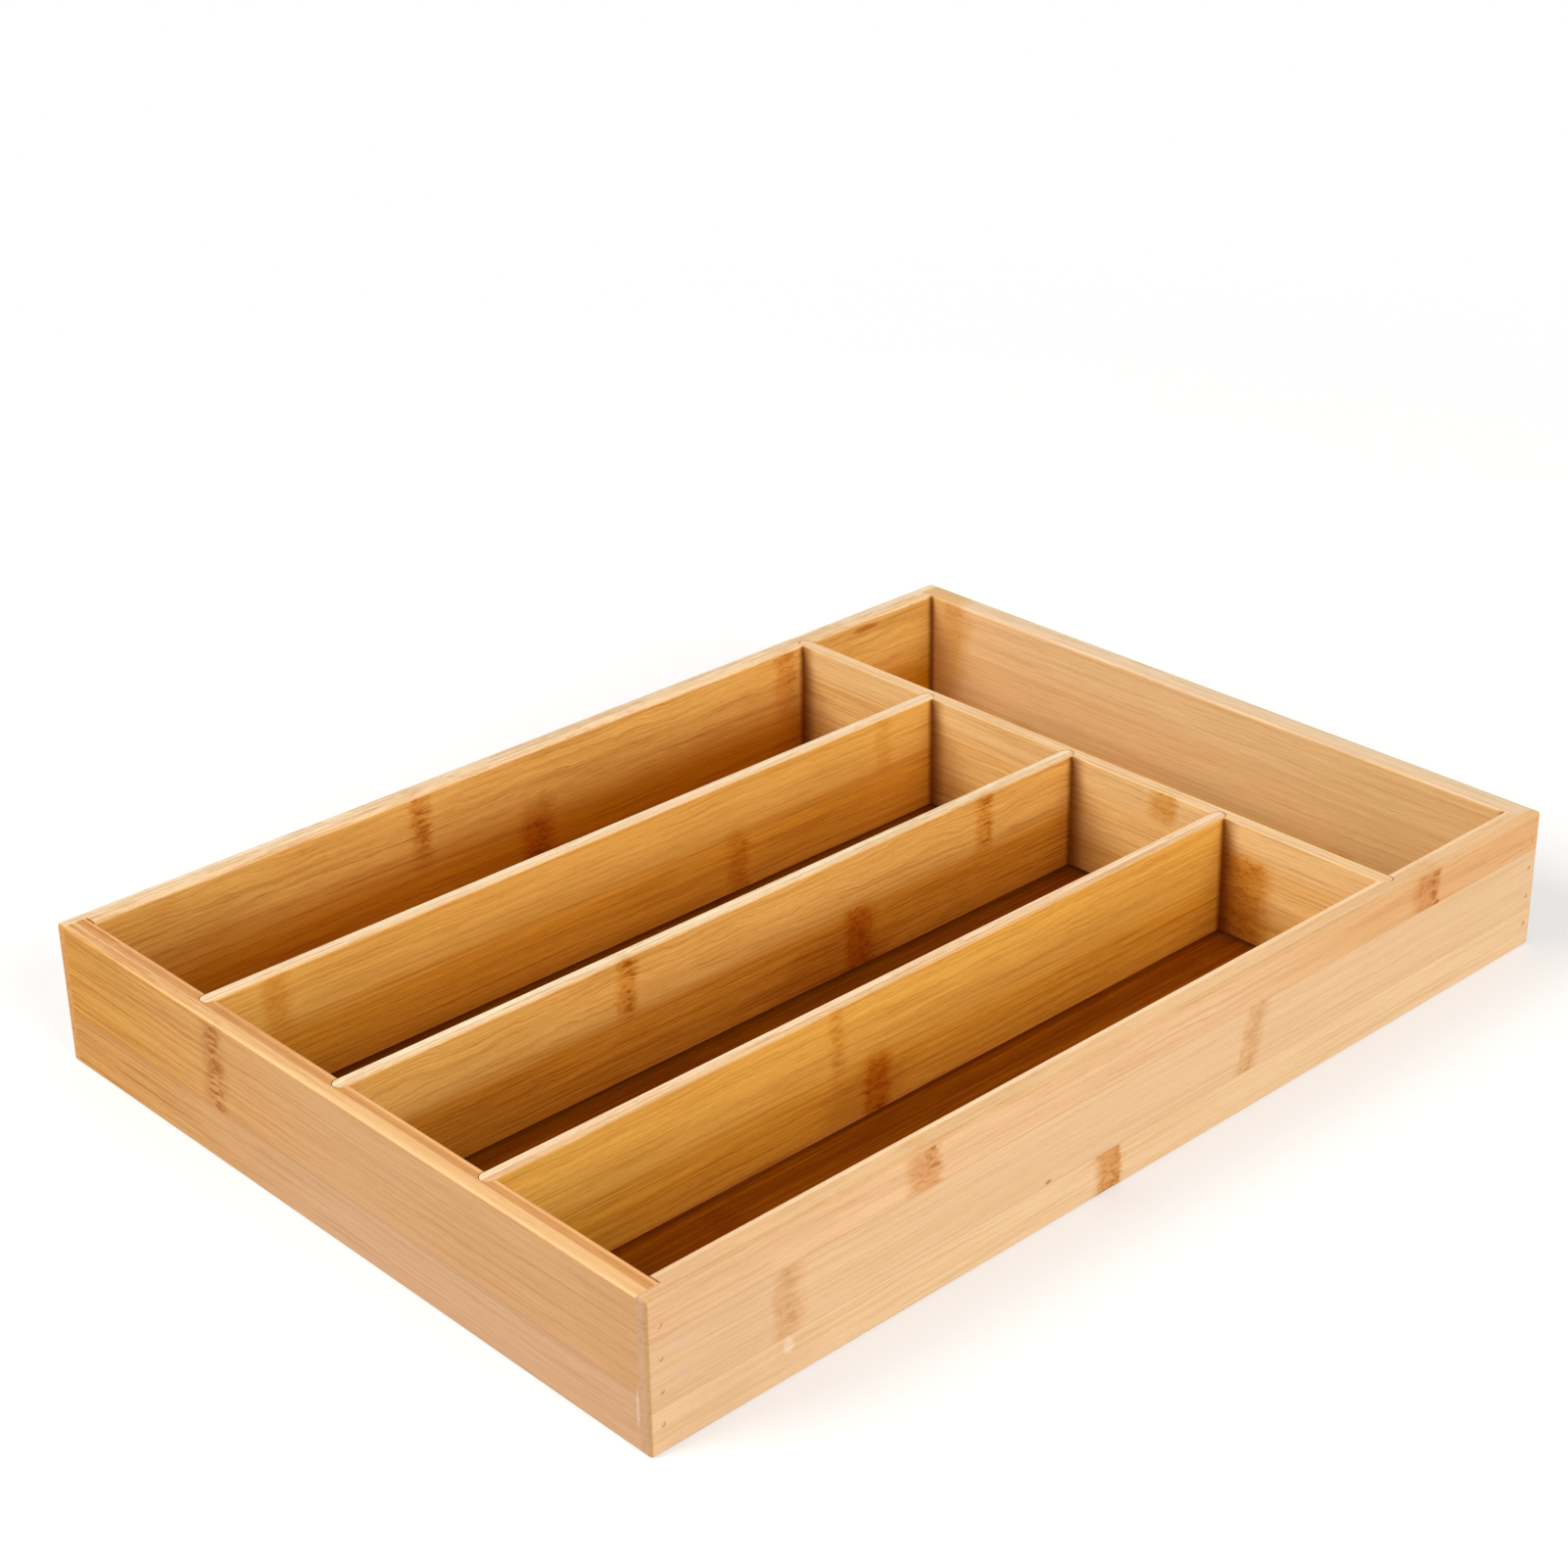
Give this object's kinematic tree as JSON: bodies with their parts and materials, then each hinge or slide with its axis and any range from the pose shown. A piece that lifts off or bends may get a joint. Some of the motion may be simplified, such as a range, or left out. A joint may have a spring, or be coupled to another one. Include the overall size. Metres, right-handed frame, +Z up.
{
  "type": "cutlery tray",
  "caption": "Shallow open bamboo tray for a kitchen drawer, with long compartments side by side for cutlery and one compartment across the back.",
  "frame": {"origin": "middle of the tray's footprint, on the surface that it stands on", "axes": "+X along the short walls to the right, +Y along the long walls towards the cross compartment, +Z up"},
  "size_m": [0.255, 0.355, 0.045],
  "materials": {
    "wall_bamboo": "satin varnished bamboo",
    "divider_bamboo": "satin varnished bamboo",
    "base_bamboo": "satin varnished bamboo",
    "brad_steel": "dull bronzed wire"
  },
  "bodies": {
    "root": {"front_wall": "wall_bamboo", "back_wall": "wall_bamboo", "left_wall": "wall_bamboo", "right_wall": "wall_bamboo", "cross_divider": "divider_bamboo", "long_divider_left": "divider_bamboo", "long_divider_middle": "divider_bamboo", "long_divider_right": "divider_bamboo", "base_panel": "base_bamboo", "corner_brads_front_left": "brad_steel", "corner_brads_front_right": "brad_steel", "corner_brads_back_left": "brad_steel", "corner_brads_back_right": "brad_steel"}
  },
  "joints": []
}
